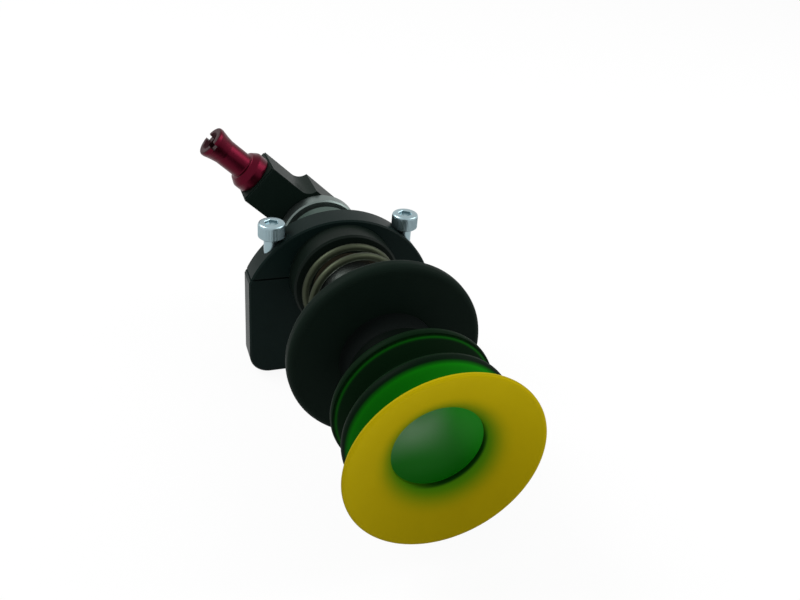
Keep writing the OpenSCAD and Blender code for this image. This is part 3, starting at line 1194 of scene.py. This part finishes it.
@dataclass
class ClampScrew:
    """A socket head cap screw with a knurled head.

    Heights are measured from the seat under the head. The core is the fine hole that stands in
    for the axis, so that the turned mesh has no pole.
    """

    name: str
    node: str
    x: float
    seat_z: float = 49.4
    length: float = 28.0
    shank_r: float = 2.5
    head_r: float = 4.27
    head_h: float = 5.0
    socket_flats: float = 4.0
    socket_depth: float = 0.9
    core_r: float = 0.02
    sides: int = 96
    knurls: int = 56
    knurl_r: float = 0.11
    knurl_sides: int = 8
    knurl_foot: float = 0.45
    knurl_h: float = 3.7

    def body(self) -> bpy.types.Mesh:
        """Builds the shank, the head and its hexagon socket in one closed mesh.

        Returns:
            The mesh, in metres.
        """
        top, head_r, shank_r, flat = self.head_h, self.head_r, self.shank_r, self.socket_flats / 2
        outside = [
            (self.core_r, -self.length), (shank_r - 0.5, -self.length),
            (shank_r, 0.5 - self.length), (shank_r, -0.2), (shank_r, 0.0),
            (head_r - 0.3, 0.0), (head_r, 0.3), (head_r, top - 0.6),
            (head_r - 0.12, top - 0.28), (head_r - 0.42, top - 0.06), (head_r - 0.75, top),
        ]
        socket = [(flat + 0.16, top), (flat, top - 0.16), (flat, top - self.socket_depth)]
        drilled = (self.core_r, top - self.socket_depth - 0.5)
        six_sided = range(len(outside), len(outside) + len(socket))

        def ring_r(index: int, r: float, angle: float) -> float:
            """Makes the socket's rings six-sided."""
            return r / math.cos(math.remainder(angle, math.pi / 3)) if index in six_sided else r

        place = Matrix.Translation((self.x * MM, 0, self.seat_z * MM))
        return lathe([*outside, *socket, drilled], place, self.sides, ring_r)

    def knurl(self, material: bpy.types.Material) -> bpy.types.Mesh:
        """Sets fine ridges round the head.

        Args:
            material: The screw's material.

        Returns:
            The ridges' mesh.
        """
        tree = Grower.start(self.name + "_knurl", {
            "Radius": (self.head_r - 0.03) * MM, "Ridge radius": self.knurl_r * MM,
            "Ridge height": self.knurl_h * MM, "Count": self.knurls,
            "Place": (self.x * MM, 0.0, (self.seat_z + self.knurl_foot + self.knurl_h / 2) * MM),
        })
        ring = tree.node("GeometryNodeMeshCircle", {"fill_type": "NONE"},
                         {"Vertices": tree.input("Count"), "Radius": tree.input("Radius")})
        ridge = tree.node("GeometryNodeMeshCylinder", {"fill_type": "NGON"}, {
            "Vertices": self.knurl_sides, "Radius": tree.input("Ridge radius"),
            "Depth": tree.input("Ridge height"),
        })
        ridges = tree.node("GeometryNodeInstanceOnPoints",
                           sockets={"Points": ring, "Instance": ridge})
        moved = tree.node("GeometryNodeTransform",
                          sockets={"Geometry": ridges, "Translation": tree.input("Place")})
        return tree.grow(moved, material)

    def build(self) -> Pieces:
        """Builds the screw.

        Returns:
            The screw by name.
        """
        material = ZINC.make()
        ridges = self.knurl(material)
        work = bmesh.new()
        work.from_mesh(self.body())
        bmesh.ops.recalc_face_normals(work, faces=work.faces)
        work.from_mesh(ridges)
        screw = finish_mesh(self.name, written(self.name, work), material, sharp=38)
        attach(screw, "mount")
        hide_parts(self.node)
        return {self.name: screw}


@dataclass
class HoseNipple:
    """The red nipple with its rounded collar, its flare and the notch across its mouth.

    The foot and the mouth are distances from the gripper's axis, out along the arm. The visible
    piece stays inside its solid by the slack.
    """

    foot: float = 29.0
    spigot: float = 8.0
    bore_r: float = 2.5
    shank_r: float = 4.98
    collar_r: float = 7.0
    barrel_r: float = 4.5
    flare_r: float = 5.5
    mouth: float = 48.8
    slack: float = 0.02
    notch_w: float = 1.8
    notch_depth: float = 1.5
    sides: int = 128
    sharp: float = 40.0

    def place(self) -> Matrix:
        """The frame whose Z runs out along the arm.

        Returns:
            The frame, whose X runs rearwards along the gripper's axis.
        """
        out = Vector((math.cos(math.radians(ARM_ANGLE)), 0, math.sin(math.radians(ARM_ANGLE))))
        side = Vector((0, 1, 0))
        turn = Matrix((side, out.cross(side), out)).transposed().to_4x4()
        return Matrix.Translation(on_axis(ARM_T)) @ turn

    def turned(self) -> bpy.types.Mesh:
        """Turns the nipple from its outline, bore and all.

        Returns:
            The mesh, in metres.
        """
        foot, end, mouth = self.foot, self.foot - self.spigot, self.mouth - self.slack / 2
        collar_r, flare_r = self.collar_r - self.slack, self.flare_r - self.slack
        outline = fillet([
            (self.bore_r, end, 0), (self.shank_r - 0.4, end, 0), (self.shank_r, end + 0.4, 0),
            (self.shank_r, foot + self.slack, 0), (collar_r, foot + self.slack, 0.2),
            (collar_r, foot + 3.4, 1.6), (5.55, foot + 5.5, 0.5),
            (self.barrel_r, foot + 5.7, 0.35), (self.barrel_r, 42.6, 1.5),
            (self.barrel_r + 0.4, 45.0, 1.5), (flare_r, 47.4, 0.5), (flare_r, mouth, 0.75),
            (self.bore_r + 0.9, mouth, 0.2), (self.bore_r, self.mouth - 1.4, 0.2),
        ])
        return lathe(split_long(outline, 1.2), self.place(), self.sides)

    def notch(self) -> bpy.types.Mesh:
        """Makes the bar that cuts the notch, along the gripper's axis.

        Returns:
            The bar's mesh, in metres.
        """
        work = bmesh.new()
        size = Vector((3 * self.flare_r, self.notch_w, 2 * self.notch_depth)) * MM
        spot = Matrix.Translation((0, 0, self.mouth * MM)) @ Matrix.Diagonal((*size, 1))
        bmesh.ops.create_cube(work, size=1.0, matrix=self.place() @ spot)
        return written("notch_cutter", work)

    def build(self) -> Pieces:
        """Builds the nipple.

        Returns:
            The nipple by name.
        """
        nipple = finish_mesh("hose_nipple", self.turned(), NIPPLE.make(), self.sharp)
        cutter = added("notch_cutter", self.notch())
        cut = nipple.modifiers.new("notch", "BOOLEAN")
        cut.operation = "DIFFERENCE"
        cut.solver = "EXACT"
        cut.object = cutter
        nipple.data = frozen(nipple)
        bpy.data.objects.remove(cutter)
        shade(nipple.data, self.sharp)
        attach(nipple, "plunger")
        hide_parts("nipple")
        return {"nipple": nipple}


@dataclass
class MachinedParts:
    """The solids that keep their shape and take a finish of their own."""

    finishes: Dict[str, Finish] = field(default_factory=lambda: {
        "cup_hub": HUB_BLACK, "hub_seal": SEAL, "backing_disc": DISC, "stem": STEM,
        "front_washer": ZINC, "sleeve_flange": TURNED_BLACK, "guide_sleeve": BARREL_BLACK_SHEEN,
        "front_liner": LINER, "rear_liner": LINER, "clamp_base": CLAMP_BLACK,
        "clamp_cap": CLAMP_BLACK, "buffer_ring": SEAL, "stop_collar": COLLAR,
        "collar_screw": OXIDE, "elbow_body": ELBOW_BLACK, "elbow_seal": SEAL,
        "nipple_seal": SEAL,
    })

    def build(self) -> Pieces:
        """Dresses each solid, and makes each finish once.

        Returns:
            The solids by name.
        """
        made: Dict[str, bpy.types.Material] = {}
        for node, finish in self.finishes.items():
            if finish.name not in made:
                made[finish.name] = finish.make()
            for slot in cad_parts[node].material_slots:
                slot.material = made[finish.name]
        return {node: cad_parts[node] for node in self.finishes}


# ---- Studio ----


@dataclass(frozen=True)
class Lamp:
    """A soft square lamp, with its place and side in metres and its power in watts."""

    name: str
    at: Place
    side: float
    power: float

    def build(self, aim: Place) -> None:
        """Adds the lamp.

        Args:
            aim: The place that it faces.
        """
        data = bpy.data.lights.new(self.name, "AREA")
        data.shape = "SQUARE"
        data.size = self.side
        data.energy = self.power
        lamp = added(self.name, data)
        lamp.location = self.at
        lamp.rotation_euler = (Vector(aim) - Vector(self.at)).to_track_quat("-Z", "Y").to_euler()


@dataclass
class Studio:
    """The camera, the pale floor, the white surroundings and the soft lamps.

    The camera's turn is its tilt, roll and heading in degrees, and places are in metres. Levels
    are shares of white: level all round, open_level on the tent's open side.
    """

    camera_at: Place = (-0.0672, -0.2273, 0.1645)
    camera_turn: Tuple[float, float, float] = (59.428, -4.706, -18.978)
    lens: float = 36.0
    sensor: float = 36.0
    nearest: float = 0.005
    open_side: Place = (-0.15, -0.86, 0.48)
    open_fade: Fade = (0.15, 0.8)
    open_level: float = 0.72
    level: float = 0.9
    floor_r: float = 4.0
    floor_sides: int = 96
    floor_colour: Colour = (0.7, 0.7, 0.7, 1.0)
    floor_white: float = 0.92
    lamps: Tuple[Lamp, ...] = (
        Lamp("key", (-0.55, 0.35, 0.75), 0.5, 7.0),
        Lamp("fill", (0.6, -0.1, 0.55), 0.5, 3.0),
    )

    def camera(self) -> None:
        """Adds the camera."""
        data = bpy.data.cameras.new("camera")
        data.lens = self.lens
        data.sensor_width = self.sensor
        data.clip_start = self.nearest
        camera = added("camera", data)
        camera.location = self.camera_at
        camera.rotation_euler = [math.radians(turn) for turn in self.camera_turn]
        bpy.context.scene.camera = camera

    def world(self) -> None:
        """Adds white surroundings that are dim on the open side of the tent."""
        world = bpy.data.worlds.new("tent")
        bpy.context.scene.world = world
        tent = Painter.on(world)
        way = tent.node("ShaderNodeTexCoord", output="Generated")
        facing = tent.node("ShaderNodeVectorMath", {"operation": "DOT_PRODUCT"},
                           {0: way, 1: tuple(Vector(self.open_side).normalized())}, output="Value")
        dark = facing.step(*self.open_fade)
        seen = tent.seen()
        strength = (self.level - dark * (self.level - self.open_level)) * (1 - seen) + seen
        light = tent.node("ShaderNodeBackground", sockets={"Color": WHITE, "Strength": strength})
        tent.node("ShaderNodeOutputWorld", sockets={"Surface": light})

    def floor(self) -> None:
        """Adds the pale floor, which is white to the camera and keeps a soft shadow."""
        work = bmesh.new()
        bmesh.ops.create_circle(work, cap_ends=True, radius=self.floor_r,
                                segments=self.floor_sides)
        mesh = written("floor", work)
        material = bpy.data.materials.new("floor_white")
        paint = Painter.on(material)
        share = paint.seen() * self.floor_white
        lit = paint.node("ShaderNodeBsdfDiffuse", sockets={"Color": self.floor_colour})
        bright = paint.node("ShaderNodeEmission", sockets={"Color": WHITE, "Strength": 1.0})
        both = paint.node("ShaderNodeMixShader", sockets={0: share, 1: lit, 2: bright})
        paint.node("ShaderNodeOutputMaterial", sockets={"Surface": both})
        mesh.materials.append(material)
        added("floor", mesh)

    def build(self) -> None:
        """Builds the whole studio."""
        bpy.context.scene.view_settings.view_transform = "Standard"
        self.camera()
        self.world()
        self.floor()
        for lamp in self.lamps:
            lamp.build(aim=on_axis(CLAMP_T))


def main() -> None:
    """Builds the studio and the gripper, and reports each piece."""
    Studio().build()
    assemblies = [
        MachinedParts(), SuctionCup(), Suspension(),
        ClampScrew("clamp_screw_left", "screw_left", -SCREW_X),
        ClampScrew("clamp_screw_right", "screw_right", SCREW_X), HoseNipple(),
    ]
    for assembly in assemblies:
        for name, piece in assembly.build().items():
            LOG.info("%s: %s, %d faces", type(assembly).__name__, name, len(piece.data.polygons))


if __name__ == "__main__":
    main()
